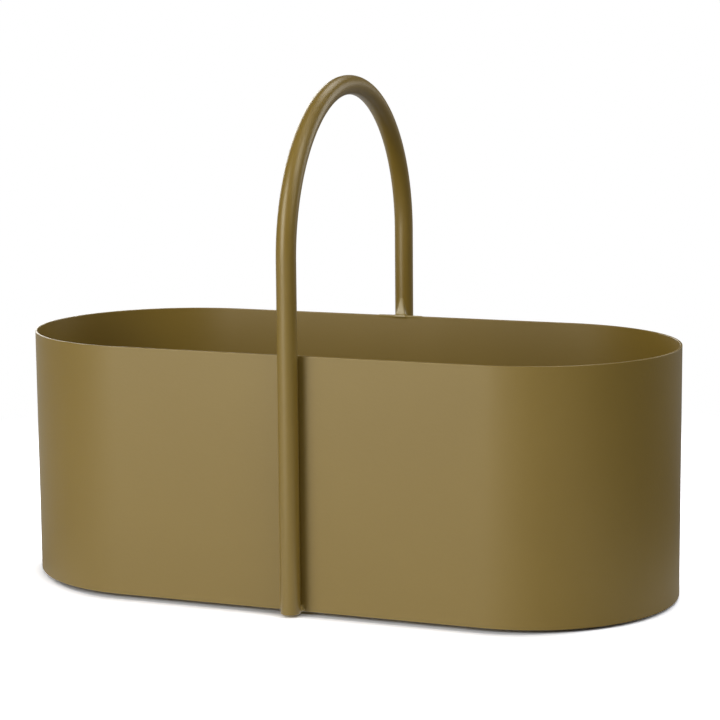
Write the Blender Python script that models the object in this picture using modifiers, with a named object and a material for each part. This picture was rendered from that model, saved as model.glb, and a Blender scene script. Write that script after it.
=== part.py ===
"""Open steel toolbox with a fixed hoop handle.

A strip of sheet steel is rolled into an oblong tray with half-round ends, and one butt weld closes it.
A flat base plate is stitch welded just inside its lower edge, and four stick-on pads lift it off the
floor. A bent tube crosses over the middle of the tray: its legs run down the outside of both long walls,
and are welded to the wall at the rim and at the foot. Nothing moves.

Frame: metres, +X along the length, +Y to the rear, +Z up, origin on the floor under the tray's middle.
"""

import math

import bmesh
import bpy
from mathutils import Matrix, Vector

MM = 0.001

# Rolled wall
TRAY_LENGTH = 350.0 * MM
TRAY_WIDTH = 155.0 * MM
WALL_HEIGHT = 129.0 * MM
WALL_SHEET = 1.2 * MM
WALL_EDGE_BREAK = 0.25 * MM
SEAM_WELD_WIDTH = 1.2 * MM

# Base plate, set up from the wall's lower edge, and the short welds under it
BASE_SHEET = 1.2 * MM
BASE_RECESS = 2.4 * MM
STITCH_DIAMETER = 1.5 * MM
STITCH_LENGTH = 14.0 * MM
STITCH_PITCH = 108.0 * MM

# Pads under the base plate
PAD_DIAMETER = 18.0 * MM
PAD_EDGE_BREAK = 0.5 * MM
PAD_FROM_WALL = 12.0 * MM
FLOOR_CLEARANCE = 1.5 * MM

# Handle tube and the plugs in its two ends
TUBE_DIAMETER = 10.0 * MM
TUBE_WALL = 1.0 * MM
LEG_ABOVE_RIM = 46.7 * MM
PLUG_THICKNESS = 1.5 * MM

# Weld where each leg passes the rim: a foot spread along the rim, a shoulder, a neck and a thin tip
# that runs up the tube
RIM_WELD_WIDTH = 9.0 * MM
RIM_WELD_SHOULDER_WIDTH = 5.6 * MM
RIM_WELD_SHOULDER_HEIGHT = 1.4 * MM
RIM_WELD_NECK_WIDTH = 3.2 * MM
RIM_WELD_NECK_HEIGHT = 3.4 * MM
RIM_WELD_TIP_WIDTH = 1.2 * MM
RIM_WELD_HEIGHT = 8.5 * MM
RIM_WELD_DROP = 1.8 * MM

# Weld in the groove on each side of each leg's foot
FOOT_WELD_WIDTH = 3.6 * MM
FOOT_WELD_DEPTH = 2.8 * MM
FOOT_WELD_HEIGHT = 3.6 * MM

# Gap between the faces of neighbouring pieces
FIT_GAP = 0.3 * MM

# How far a cutter runs past what it cuts
CUTTER_OVERRUN = 5.0 * MM

# Steps of the round shapes
END_ARC_STEPS = 48
HOOP_ARC_STEPS = 36
STITCH_STEPS = 6
TUBE_BEVEL_RESOLUTION = 10
STITCH_BEVEL_RESOLUTION = 2
DISC_SIDES = 32
LEG_CUTTER_SIDES = 48
WELD_SIDES = 20

# Places that follow from the sizes
END_RADIUS = TRAY_WIDTH / 2
STRAIGHT_HALF = TRAY_LENGTH / 2 - END_RADIUS
TUBE_RADIUS = TUBE_DIAMETER / 2
LEG_Y = END_RADIUS + FIT_GAP + TUBE_RADIUS
WALL_FOOT_Z = FLOOR_CLEARANCE
RIM_Z = WALL_FOOT_Z + WALL_HEIGHT
BASE_UNDER_Z = WALL_FOOT_Z + BASE_RECESS
HOOP_CENTRE_Z = RIM_Z + LEG_ABOVE_RIM

OLIVE = (0.270, 0.200, 0.085, 1.0)
BLACK = (0.020, 0.020, 0.021, 1.0)

FRONT, REAR = -1, 1
LEFT, RIGHT = -1, 1
SIDE_NAMES = {FRONT: "front", REAR: "rear"}
HAND_NAMES = {LEFT: "left", RIGHT: "right"}


def new_collection(name):
    collection = bpy.data.collections.new(name)
    bpy.context.scene.collection.children.link(collection)
    return collection


for leftover in list(bpy.data.objects):
    bpy.data.objects.remove(leftover, do_unlink=True)
PARTS = new_collection("toolbox")
CUTTERS = new_collection("cutters")


# Materials

def principled(name, colour, roughness, metallic=0.0):
    material = bpy.data.materials.new(name)
    material.use_nodes = True
    shader = material.node_tree.nodes["Principled BSDF"]
    shader.inputs["Base Color"].default_value = colour
    shader.inputs["Roughness"].default_value = roughness
    shader.inputs["Metallic"].default_value = metallic
    material.diffuse_color = colour
    return material


def powder_coat(piece_name):
    return principled(piece_name + " powder coat", OLIVE, 0.45)


def rubber(piece_name):
    return principled(piece_name + " rubber", BLACK, 0.75)


# Objects, curves and modifiers

def add_part(name, data, material):
    part = bpy.data.objects.new(name, data)
    PARTS.objects.link(part)
    data.materials.clear()
    data.materials.append(material)
    return part


def add_guide(name, data):
    guide = bpy.data.objects.new(name, data)
    CUTTERS.objects.link(guide)
    guide.hide_render = True
    guide.display_type = "WIRE"
    return guide


def poly_curve(name, points, dimensions, cyclic=False):
    curve = bpy.data.curves.new(name, "CURVE")
    curve.dimensions = dimensions
    spline = curve.splines.new("POLY")
    spline.points.add(len(points) - 1)
    for target, point in zip(spline.points, points):
        target.co = (*point, 1.0)
    spline.use_cyclic_u = cyclic
    return curve


def tube_curve(name, points, diameter, resolution, capped):
    curve = poly_curve(name, points, "3D")
    curve.bevel_depth = diameter / 2
    curve.bevel_resolution = resolution
    curve.use_fill_caps = capped
    return curve


def curve_to_mesh(curve, height=0.0):
    """The mesh that a curve draws, with its caps welded on, lifted to a height."""
    guide = add_guide(curve.name, curve)
    bpy.context.view_layer.update()
    mesh = bpy.data.meshes.new_from_object(guide.evaluated_get(bpy.context.evaluated_depsgraph_get()))
    bpy.data.objects.remove(guide, do_unlink=True)
    work = bmesh.new()
    work.from_mesh(mesh)
    bmesh.ops.remove_doubles(work, verts=work.verts, dist=0.001 * MM)
    bmesh.ops.translate(work, verts=work.verts, vec=(0.0, 0.0, height))
    work.to_mesh(mesh)
    work.free()
    return mesh


def disc_mesh(name, diameter, height, sides=DISC_SIDES):
    """An upright disc that stands on its own origin."""
    mesh = bpy.data.meshes.new(name)
    work = bmesh.new()
    bmesh.ops.create_cone(
        work, cap_ends=True, segments=sides, radius1=diameter / 2, radius2=diameter / 2, depth=height,
        matrix=Matrix.Translation((0.0, 0.0, height / 2)),
    )
    work.to_mesh(mesh)
    work.free()
    shade_round(mesh)
    return mesh


def shade_round(mesh):
    mesh.shade_smooth()
    mesh.set_sharp_from_angle(angle=math.radians(30.0))


def thicken(part, thickness):
    """Gives an open surface its thickness, on the side away from its normals."""
    sheet = part.modifiers.new("thickness", "SOLIDIFY")
    sheet.thickness = thickness
    sheet.offset = -1.0
    sheet.use_even_offset = True


def break_edges(part, width):
    edge = part.modifiers.new("broken edges", "BEVEL")
    edge.width = width
    edge.segments = 1
    edge.limit_method = "ANGLE"
    edge.angle_limit = math.radians(60.0)


def turn(part, steps):
    lathe = part.modifiers.new("turned", "SCREW")
    lathe.angle = 2 * math.pi
    lathe.steps = steps
    lathe.render_steps = steps
    lathe.use_merge_vertices = True
    lathe.merge_threshold = 0.001 * MM
    lathe.use_smooth_shade = True


def cut(part, cutter):
    difference = part.modifiers.new("cut by " + cutter.name, "BOOLEAN")
    difference.operation = "DIFFERENCE"
    difference.solver = "EXACT"
    difference.object = cutter


# Outline of the tray

def oblong(inset):
    """The tray's outline, moved in from the wall's outer face, anticlockwise from its front right."""
    radius = END_RADIUS - inset
    points = []
    for hand in (RIGHT, LEFT):
        start = -hand * math.pi / 2
        for step in range(END_ARC_STEPS + 1):
            angle = start + math.pi * step / END_ARC_STEPS
            points.append((hand * STRAIGHT_HALF + radius * math.cos(angle), radius * math.sin(angle)))
    return points


def oblong_girth(inset):
    return 4 * STRAIGHT_HALF + 2 * math.pi * (END_RADIUS - inset)


def place_on_oblong(inset, distance):
    """The point of that outline at a distance from the front middle."""
    radius = END_RADIUS - inset
    arc = math.pi * radius
    for hand, straight_before in ((RIGHT, STRAIGHT_HALF), (LEFT, 2 * STRAIGHT_HALF)):
        if distance < straight_before:
            along = STRAIGHT_HALF - (straight_before - distance)
            return (hand * along, -hand * radius)
        distance -= straight_before
        if distance < arc:
            angle = -hand * math.pi / 2 + distance / radius
            return (hand * STRAIGHT_HALF + radius * math.cos(angle), radius * math.sin(angle))
        distance -= arc
    return (distance - STRAIGHT_HALF, -radius)


# Tray

def make_wall():
    """The rolled strip, open at the butt seam behind the front leg."""
    butt_x = SEAM_WELD_WIDTH / 2 + FIT_GAP
    path = [(butt_x, -END_RADIUS, 0.0), *((x, y, 0.0) for x, y in oblong(0.0)), (-butt_x, -END_RADIUS, 0.0)]
    curve = poly_curve("wall_band", path, "2D")
    curve.fill_mode = "NONE"
    curve.extrude = WALL_HEIGHT / 2
    ribbon = curve_to_mesh(curve, WALL_FOOT_Z + WALL_HEIGHT / 2)
    first = ribbon.polygons[0]
    if first.normal.dot(first.center) < 0.0:
        ribbon.flip_normals()
    wall = add_part("wall_band", ribbon, powder_coat("wall band"))
    thicken(wall, WALL_SHEET)
    break_edges(wall, WALL_EDGE_BREAK)
    shade_round(ribbon)


def make_seam_weld():
    """The weld that closes the strip, ground flush with both faces of the sheet."""
    size = (SEAM_WELD_WIDTH, WALL_SHEET, WALL_HEIGHT)
    mesh = bpy.data.meshes.new("wall_seam_weld")
    work = bmesh.new()
    bmesh.ops.create_cube(work, size=1.0, matrix=Matrix.Diagonal((*size, 1.0)))
    work.to_mesh(mesh)
    work.free()
    weld = add_part("wall_seam_weld", mesh, powder_coat("wall seam weld"))
    weld.location = (0.0, WALL_SHEET / 2 - END_RADIUS, WALL_FOOT_Z + WALL_HEIGHT / 2)


def make_base():
    """The flat plate that drops inside the wall with the fit gap all round."""
    outline = [(x, y, 0.0) for x, y in oblong(WALL_SHEET + FIT_GAP)]
    curve = poly_curve("base_plate", outline, "2D", cyclic=True)
    curve.fill_mode = "BOTH"
    curve.extrude = BASE_SHEET / 2
    add_part("base_plate", curve_to_mesh(curve, BASE_UNDER_Z + BASE_SHEET / 2), powder_coat("base plate"))


def make_stitches():
    """Short beads in the corner under the base plate, spaced evenly round the wall."""
    inset = WALL_SHEET + FIT_GAP + STITCH_DIAMETER / 2
    height = BASE_UNDER_Z - FIT_GAP - STITCH_DIAMETER / 2
    girth = oblong_girth(inset)
    count = 2 * max(1, round(girth / STITCH_PITCH / 2))
    for index in range(count):
        middle = (index + 0.5) * girth / count
        name = f"base_stitch_weld_{index + 1}"
        points = []
        for step in range(STITCH_STEPS + 1):
            x, y = place_on_oblong(inset, middle + STITCH_LENGTH * (step / STITCH_STEPS - 0.5))
            points.append((x, y, 0.0))
        bead = tube_curve(name, points, STITCH_DIAMETER, STITCH_BEVEL_RESOLUTION, True)
        mesh = curve_to_mesh(bead, height)
        shade_round(mesh)
        add_part(name, mesh, powder_coat(name.replace("_", " ")))


def make_pads():
    """Four round pads that meet the floor, on the diagonals of the half-round ends."""
    reach = END_RADIUS - WALL_SHEET - PAD_FROM_WALL - PAD_DIAMETER / 2
    diagonal = reach * math.sqrt(0.5)
    for side in (FRONT, REAR):
        for hand in (LEFT, RIGHT):
            name = f"{SIDE_NAMES[side]}_{HAND_NAMES[hand]}_pad"
            mesh = disc_mesh(name, PAD_DIAMETER, BASE_UNDER_Z - FIT_GAP)
            pad = add_part(name, mesh, rubber(name.replace("_", " ")))
            pad.location = (hand * (STRAIGHT_HALF + diagonal), side * diagonal, 0.0)
            break_edges(pad, PAD_EDGE_BREAK)


# Handle

def make_handle():
    """The bent tube: up the front leg, over the half-round hoop and down the rear leg."""
    line = [(0.0, -LEG_Y, WALL_FOOT_Z)]
    for step in range(HOOP_ARC_STEPS + 1):
        angle = math.pi * (1.0 - step / HOOP_ARC_STEPS)
        line.append((0.0, LEG_Y * math.cos(angle), HOOP_CENTRE_Z + LEG_Y * math.sin(angle)))
    line.append((0.0, LEG_Y, WALL_FOOT_Z))
    mesh = curve_to_mesh(tube_curve("handle_tube", line, TUBE_DIAMETER, TUBE_BEVEL_RESOLUTION, False))
    mesh.shade_smooth()
    tube = add_part("handle_tube", mesh, powder_coat("handle tube"))
    thicken(tube, TUBE_WALL)


def make_leg_plugs():
    """The plugs that close the tube's ends, level with them."""
    bore = TUBE_DIAMETER - 2 * TUBE_WALL
    for side in (FRONT, REAR):
        name = f"{SIDE_NAMES[side]}_leg_plug"
        mesh = disc_mesh(name, bore - 2 * FIT_GAP, PLUG_THICKNESS)
        plug = add_part(name, mesh, powder_coat(name.replace("_", " ")))
        plug.location = (0.0, side * LEG_Y, WALL_FOOT_Z)


# Welds between the handle and the wall

def make_leg_cutter(side):
    """A leg with the fit gap round it."""
    name = SIDE_NAMES[side] + " leg clearance"
    height = HOOP_CENTRE_Z + CUTTER_OVERRUN
    mesh = disc_mesh(name, TUBE_DIAMETER + 2 * FIT_GAP, height, LEG_CUTTER_SIDES)
    cutter = add_guide(name, mesh)
    cutter.location = (0.0, side * LEG_Y, -CUTTER_OVERRUN)
    return cutter


def make_wall_cutter():
    """The whole tray with the fit gap round it and over its rim."""
    top = RIM_Z + FIT_GAP
    outline = [(x, y, 0.0) for x, y in oblong(-FIT_GAP)]
    curve = poly_curve("wall clearance", outline, "2D", cyclic=True)
    curve.fill_mode = "BOTH"
    curve.extrude = (top + CUTTER_OVERRUN) / 2
    return add_guide("wall clearance", curve_to_mesh(curve, (top - CUTTER_OVERRUN) / 2))


def make_rim_weld(side, leg_cutter, wall_cutter):
    """A turned spike, flattened to the sheet's thickness, that sits on the rim against the leg."""
    name = f"{SIDE_NAMES[side]}_rim_weld"
    profile = [
        (0.0, RIM_WELD_HEIGHT),
        (RIM_WELD_TIP_WIDTH / 2, RIM_WELD_HEIGHT),
        (RIM_WELD_NECK_WIDTH / 2, RIM_WELD_NECK_HEIGHT),
        (RIM_WELD_SHOULDER_WIDTH / 2, RIM_WELD_SHOULDER_HEIGHT),
        (RIM_WELD_WIDTH / 2, 2 * FIT_GAP),
        (RIM_WELD_WIDTH / 2, -RIM_WELD_DROP),
        (0.0, -RIM_WELD_DROP),
    ]
    mesh = bpy.data.meshes.new(name)
    edges = [(index, index + 1) for index in range(len(profile) - 1)]
    mesh.from_pydata([(r, 0.0, z) for r, z in profile], edges, [])
    weld = add_part(name, mesh, powder_coat(name.replace("_", " ")))
    weld.location = (0.0, side * END_RADIUS, RIM_Z)
    weld.scale.y = WALL_SHEET / (RIM_WELD_WIDTH / 2)
    turn(weld, WELD_SIDES)
    cut(weld, leg_cutter)
    cut(weld, wall_cutter)


def make_foot_weld(side, hand, leg_cutter, wall_cutter):
    """A drop of weld in the groove beside a leg's foot."""
    name = f"{SIDE_NAMES[side]}_{HAND_NAMES[hand]}_foot_weld"
    y = END_RADIUS + FOOT_WELD_DEPTH / 2
    into_groove = LEG_Y - y
    x = math.sqrt(max((TUBE_RADIUS + FIT_GAP) ** 2 - into_groove ** 2, 0.0)) + FIT_GAP
    mesh = bpy.data.meshes.new(name)
    work = bmesh.new()
    size = Matrix.Diagonal((FOOT_WELD_WIDTH, FOOT_WELD_DEPTH, FOOT_WELD_HEIGHT, 1.0))
    bmesh.ops.create_uvsphere(work, u_segments=WELD_SIDES, v_segments=WELD_SIDES // 2, radius=0.5, matrix=size)
    work.to_mesh(mesh)
    work.free()
    mesh.shade_smooth()
    weld = add_part(name, mesh, powder_coat(name.replace("_", " ")))
    weld.location = (hand * x, side * y, WALL_FOOT_Z + FOOT_WELD_HEIGHT / 2)
    cut(weld, leg_cutter)
    cut(weld, wall_cutter)


def main():
    make_wall()
    make_seam_weld()
    make_base()
    make_stitches()
    make_pads()
    make_handle()
    make_leg_plugs()
    wall_cutter = make_wall_cutter()
    for side in (FRONT, REAR):
        leg_cutter = make_leg_cutter(side)
        make_rim_weld(side, leg_cutter, wall_cutter)
        for hand in (LEFT, RIGHT):
            make_foot_weld(side, hand, leg_cutter, wall_cutter)


main()
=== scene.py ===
# %% [markdown]
# # An olive steel caddy, dressed in Blender
# The object is an open toolbox. A long strip of steel is rolled into an oblong wall, a flat plate makes
# its floor, and one bent tube serves as both legs and handle. The steel is welded together and then
# powder coated in a single satin olive.
#
# The CAD model gives the sizes. This file loads it as a fixed frame and then makes, piece by piece, the
# surface that a camera sees: rounded sheet edges, weld beads that flow into the steel, and a coating
# with the fine pebbled skin of baked powder.

import math

import bmesh
import bpy
from mathutils import Matrix, Vector


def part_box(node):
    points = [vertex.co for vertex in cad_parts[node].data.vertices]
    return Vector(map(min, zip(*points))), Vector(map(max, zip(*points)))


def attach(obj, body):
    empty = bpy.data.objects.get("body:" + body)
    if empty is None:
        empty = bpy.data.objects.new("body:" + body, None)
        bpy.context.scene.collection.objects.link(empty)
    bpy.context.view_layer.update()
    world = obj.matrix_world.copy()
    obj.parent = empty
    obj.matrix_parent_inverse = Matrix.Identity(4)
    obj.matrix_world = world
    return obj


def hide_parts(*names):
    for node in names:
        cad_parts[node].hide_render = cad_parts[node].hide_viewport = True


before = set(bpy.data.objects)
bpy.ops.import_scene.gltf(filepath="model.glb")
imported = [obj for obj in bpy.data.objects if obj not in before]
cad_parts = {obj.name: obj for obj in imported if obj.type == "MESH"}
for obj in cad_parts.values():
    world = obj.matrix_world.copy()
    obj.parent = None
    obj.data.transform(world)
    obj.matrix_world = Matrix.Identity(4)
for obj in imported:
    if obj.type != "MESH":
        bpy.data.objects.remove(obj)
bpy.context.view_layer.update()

# %% [markdown]
# ## The sizes, read from the frame
# Nothing is measured twice. The wall's box tells how long, wide and tall the tray is, and the tube's box
# tells where its legs stand and how high its hoop goes. Only the thicknesses that a box can't show are
# written here, in millimetres, as the workshop would.

# %% Read the sizes
MM = 0.001
SHEET = 1.2 * MM
TUBE_WALL = 1.0 * MM

wall_low, wall_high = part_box("wall_band")
base_low, base_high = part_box("base_plate")
tube_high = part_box("handle_tube")[1]

END_RADIUS = wall_high.y
HALF_LENGTH = wall_high.x
HALF_STRAIGHT = HALF_LENGTH - END_RADIUS
FOOT_Z, RIM_Z = wall_low.z, wall_high.z
FLOOR_UNDER_Z, FLOOR_TOP_Z = base_low.z, base_high.z
TUBE_RADIUS = tube_high.x
LEG_Y = tube_high.y - TUBE_RADIUS
HOOP_CENTRE_Z = tube_high.z - TUBE_RADIUS - LEG_Y
print(f"tray {2 * HALF_LENGTH / MM:.1f} by {2 * END_RADIUS / MM:.1f} mm, rim at {RIM_Z / MM:.1f} mm")
print(f"tube {2 * TUBE_RADIUS / MM:.1f} mm, its legs {LEG_Y / MM:.1f} mm from the middle")
print(f"hoop bent from {HOOP_CENTRE_Z / MM:.1f} mm up")

# %% [markdown]
# ## The camera
# The photograph was taken from the front right, a little above the rim, with a longish lens. The heading,
# tilt and distance come from fitting the outlines of the rim, the foot and the handle. Blender's camera
# looks along its own -Z, so its axes are built from the view direction and then written as one matrix.

# %% Place the camera
VIEW_HEADING = math.radians(21.39)
VIEW_TILT = math.radians(8.80)
VIEW_ROLL = math.radians(-0.488)
VIEW_DISTANCE = 1.2013
VIEW_TARGET = Vector((0.0058, 0.0, 0.1172))
LENS = 114.997
SENSOR_WIDTH = 36.0


def view_axes(heading, tilt, roll):
    """The camera's right, up and forward directions in the world."""
    forward = Vector((
        -math.sin(heading) * math.cos(tilt), math.cos(heading) * math.cos(tilt), -math.sin(tilt)))
    level = Vector((math.cos(heading), math.sin(heading), 0.0))
    up = level.cross(forward)
    right = level * math.cos(roll) + up * math.sin(roll)
    return right, right.cross(forward), forward


view_right, view_up, view_forward = view_axes(VIEW_HEADING, VIEW_TILT, VIEW_ROLL)
camera_data = bpy.data.cameras.new("photo camera")
camera_data.lens = LENS
camera_data.sensor_width = SENSOR_WIDTH
camera = bpy.data.objects.new("photo camera", camera_data)
bpy.context.scene.collection.objects.link(camera)
turn = Matrix((view_right, view_up, -view_forward)).transposed().to_4x4()
camera.matrix_world = Matrix.Translation(VIEW_TARGET - view_forward * VIEW_DISTANCE) @ turn
bpy.context.scene.camera = camera
print("camera at", [round(value, 3) for value in camera.matrix_world.translation])

# %% [markdown]
# ## Small helpers for node trees
# Both the shapes and the finishes are node trees. One helper adds a node and fills or wires its inputs by
# identifier, because several sockets of a node can share a name. The other two take the steps that come
# back all the time: one step of arithmetic, and a fade from one value to another.

# %% Add and combine nodes
def add_node(tree, kind, inputs=None, **settings):
    """Adds a node. inputs maps a socket's identifier to a value, or to the output that feeds it."""
    made = tree.nodes.new(kind)
    for name, value in settings.items():
        setattr(made, name, value)
    sockets = {socket.identifier: socket for socket in made.inputs}
    for identifier, value in (inputs or {}).items():
        if isinstance(value, bpy.types.NodeSocket):
            tree.links.new(value, sockets[identifier])
        else:
            sockets[identifier].default_value = value
    return made


def node_math(tree, operation, *values):
    """One step of arithmetic on numbers or sockets."""
    inputs = dict(zip(("Value", "Value_001", "Value_002"), values))
    return add_node(tree, "ShaderNodeMath", inputs, operation=operation).outputs[0]


def fade(tree, value, span, result=(0.0, 1.0), curve="SMOOTHSTEP"):
    """Carries a value across a span to a range of results, and holds it at both ends."""
    return add_node(tree, "ShaderNodeMapRange", {
        "Value": value, "From Min": span[0], "From Max": span[1], "To Min": result[0], "To Max": result[1]},
        interpolation_type=curve).outputs["Result"]


print("node helpers ready")

# %% [markdown]
# ## Helpers for finishes
# Every finish on the object starts from a Principled BSDF and gets its life from noise at a real size,
# through its colour, its gloss or a Bump node.

# %% Start a finish
def new_finish(name):
    """A new material. Returns it with its node tree and its Principled BSDF."""
    finish = bpy.data.materials.new(name)
    finish.use_nodes = True
    return finish, finish.node_tree, finish.node_tree.nodes["Principled BSDF"]


def blend_colours(tree, amount, first, second):
    """Mixes two colours by an amount between 0 and 1 and returns the mixed colour."""
    mixed = add_node(tree, "ShaderNodeMix", {
        "Factor_Float": amount, "A_Color": first, "B_Color": second}, data_type="RGBA")
    return next(socket for socket in mixed.outputs if socket.identifier == "Result_Color")


def noise(tree, spot, size, detail, roughness):
    """Noise whose lumps are about this size. It gives numbers round one half."""
    return add_node(tree, "ShaderNodeTexNoise", {
        "Vector": spot, "Scale": 1.0 / size, "Detail": detail, "Roughness": roughness}).outputs["Fac"]


def bump(tree, height, depth, strength=1.0, below=None):
    """Tilts the surface by a height map, on top of another bump if there is one."""
    inputs = {"Height": height, "Strength": strength, "Distance": depth}
    if below is not None:
        inputs["Normal"] = below
    return add_node(tree, "ShaderNodeBump", inputs).outputs["Normal"]


print("finish helpers ready")

# %% [markdown]
# ## The powder coat
# Powder coat is plastic baked on to steel. It has three scales of detail. Seen from a step away it is one
# even colour, a shade lighter where the film is thin. Closer, it has the low pebbles of orange peel, about
# a millimetre across. Closest of all, a fine grain breaks up its gloss. Noise textures on Object
# coordinates give all three at real size, and the pebbles and the grain each drive a Bump node.
#
# One function makes three coats. The tube's is a little smoother and glossier than the sheet's. Over the
# welds the film is glossier still, with deeper pebbles, as at the photographed rear leg. It is paler
# there too, which is a painted highlight on top of the real one from the glossier coat.

# %% Make the powder coat
OLIVE = (0.224, 0.145, 0.0245, 1.0)
OLIVE_PALE = (0.240, 0.157, 0.0275, 1.0)
# The welds' paler tones are a painted highlight, added to the real one from their glossier coat.
WELD_OLIVE_WITH_PAINTED_HIGHLIGHT = (0.26, 0.182, 0.046, 1.0)
WELD_OLIVE_PALE_WITH_PAINTED_HIGHLIGHT = (0.31, 0.222, 0.064, 1.0)
PEEL_SIZE = 1.4 * MM
GRAIN_SIZE = 0.35 * MM
GRAIN_DEPTH = 0.010 * MM
GRAIN_STRENGTH = 0.25
GRAIN_RANGE = (0.3, 0.7)
GRAIN_IN_TONE = (0.6, 0.2)
CLOUD_SIZE = 60.0 * MM
FILM_RANGE = (0.12, 0.40)
GLOSS_SPREAD = 0.04
COAT_SPECULAR = 0.74
COAT_TINT = (1.0, 0.96, 0.80, 1.0)


def powder_coat(name, peel_depth=0.035 * MM, roughness=0.40, tones=(OLIVE, OLIVE_PALE)):
    """Powder coat: its tone, its gloss and its skin, from noise at three sizes."""
    finish, tree, shader = new_finish(name)
    spot = tree.nodes.new("ShaderNodeTexCoord").outputs["Object"]
    peel = noise(tree, spot, PEEL_SIZE, detail=2.0, roughness=0.45)
    grain = noise(tree, spot, GRAIN_SIZE, detail=2.0, roughness=0.6)
    cloud = noise(tree, spot, CLOUD_SIZE, detail=3.0, roughness=0.5)
    film = node_math(tree, "MULTIPLY", node_math(tree, "MULTIPLY_ADD", grain, *GRAIN_IN_TONE), cloud)
    thin = fade(tree, film, FILM_RANGE, curve="LINEAR")
    tree.links.new(blend_colours(tree, thin, *tones), shader.inputs["Base Color"])
    gloss_range = (roughness - GLOSS_SPREAD, roughness + GLOSS_SPREAD)
    tree.links.new(fade(tree, grain, GRAIN_RANGE, gloss_range, "LINEAR"), shader.inputs["Roughness"])
    fine = bump(tree, grain, GRAIN_DEPTH, GRAIN_STRENGTH)
    tree.links.new(bump(tree, peel, peel_depth, below=fine), shader.inputs["Normal"])
    shader.inputs["Specular IOR Level"].default_value = COAT_SPECULAR
    shader.inputs["Specular Tint"].default_value = COAT_TINT
    return finish


sheet_coat = powder_coat("olive powder coat on sheet")
tube_coat = powder_coat("olive powder coat on tube", peel_depth=0.03 * MM, roughness=0.36)
weld_coat_with_painted_highlight = powder_coat("olive powder coat on weld with painted highlight", peel_depth=0.05 * MM, roughness=0.32,
                        tones=(WELD_OLIVE_WITH_PAINTED_HIGHLIGHT, WELD_OLIVE_PALE_WITH_PAINTED_HIGHLIGHT))
print("powder coats made for sheet, tube and weld")

# %% [markdown]
# ## Helpers for shapes
# A shape tree starts with named inputs, so that each size can be read and changed in Blender's modifier
# panel. It ends by making its copies real and putting the finish on them. Baking runs the tree once and
# keeps the result as a plain mesh.

# %% Start, end and bake a shape tree
def shape_tree(name, sizes):
    """A Geometry Nodes tree with one named number input for each size. Returns it with its sockets."""
    tree = bpy.data.node_groups.new(name, "GeometryNodeTree")
    tree.interface.new_socket("Geometry", in_out="OUTPUT", socket_type="NodeSocketGeometry")
    tree.interface.new_socket("Geometry", in_out="INPUT", socket_type="NodeSocketGeometry")
    tree.interface.new_socket("Finish", in_out="INPUT", socket_type="NodeSocketMaterial")
    for label, value in sizes.items():
        kind = "NodeSocketInt" if isinstance(value, int) else "NodeSocketFloat"
        tree.interface.new_socket(label, in_out="INPUT", socket_type=kind)
    entry = tree.nodes.new("NodeGroupInput")
    return tree, {socket.name: socket for socket in entry.outputs if socket.name}


def finish_tree(tree, shape, entry):
    """Ends a tree: loose copies become real, and the finish is put on them."""
    real = add_node(tree, "GeometryNodeRealizeInstances", {"Geometry": shape})
    coated = add_node(tree, "GeometryNodeSetMaterial", {
        "Geometry": real.outputs["Geometry"], "Material": entry["Finish"]})
    leave = tree.nodes.new("NodeGroupOutput")
    tree.links.new(coated.outputs["Geometry"], leave.inputs[0])


def bake_shape(name, tree, sizes, finish, source=None):
    """Runs a tree on an object with these sizes and returns the result as a plain mesh object."""
    data = source if source is not None else bpy.data.meshes.new(name + " seed")
    maker = bpy.data.objects.new(name + " maker", data)
    bpy.context.scene.collection.objects.link(maker)
    modifier = maker.modifiers.new("shape", "NODES")
    modifier.node_group = tree
    for item in tree.interface.items_tree:
        if item.item_type == "SOCKET" and item.in_out == "INPUT":
            if item.name == "Finish":
                modifier[item.identifier] = finish
            elif item.name in sizes:
                modifier[item.identifier] = sizes[item.name]
    bpy.context.view_layer.update()
    evaluated = maker.evaluated_get(bpy.context.evaluated_depsgraph_get())
    mesh = bpy.data.meshes.new_from_object(evaluated)
    bpy.data.objects.remove(maker, do_unlink=True)
    mesh.name = name
    piece = bpy.data.objects.new(name, mesh)
    bpy.context.scene.collection.objects.link(piece)
    print(f"{name}: {len(mesh.polygons)} faces")
    return piece


print("shape helpers ready")

# %% [markdown]
# ## The rolled wall
# The real wall is one strip of sheet, rolled to shape and closed with a weld. A sheet has a constant
# thickness and its cut edges are softened by the coating, so the right model is a small rounded rectangle,
# the section of the strip, carried round an oblong path. The path is itself a rectangle whose corners are
# filleted until the short sides become half circles.

# %% Roll the wall
WALL_SIZES = {
    "Length": 2 * HALF_LENGTH, "Width": 2 * END_RADIUS, "Height": RIM_Z - FOOT_Z, "Foot height": FOOT_Z,
    "Sheet": SHEET, "Edge rounding": 0.42 * MM, "Corner steps": 56, "Edge steps": 4,
}
WALL_MERGE = 0.01 * MM


def point_at(tree, x=0.0, y=0.0, z=0.0):
    """A point from its three coordinates."""
    return add_node(tree, "ShaderNodeCombineXYZ", {"X": x, "Y": y, "Z": z}).outputs["Vector"]


def rounded_rectangle(tree, width, height, radius, steps):
    """A flat rectangle with its corners filleted in so many steps."""
    box = add_node(tree, "GeometryNodeCurvePrimitiveQuadrilateral", {"Width": width, "Height": height})
    return add_node(tree, "GeometryNodeFilletCurve", {
        "Curve": box.outputs["Curve"], "Count": steps, "Radius": radius, "Limit Radius": True},
        mode="POLY").outputs["Curve"]


def shade_by_angle(piece, degrees):
    """Smooth shading, with edges sharper than this kept crisp."""
    piece.data.shade_smooth()
    piece.data.set_sharp_from_angle(angle=math.radians(degrees))


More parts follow.
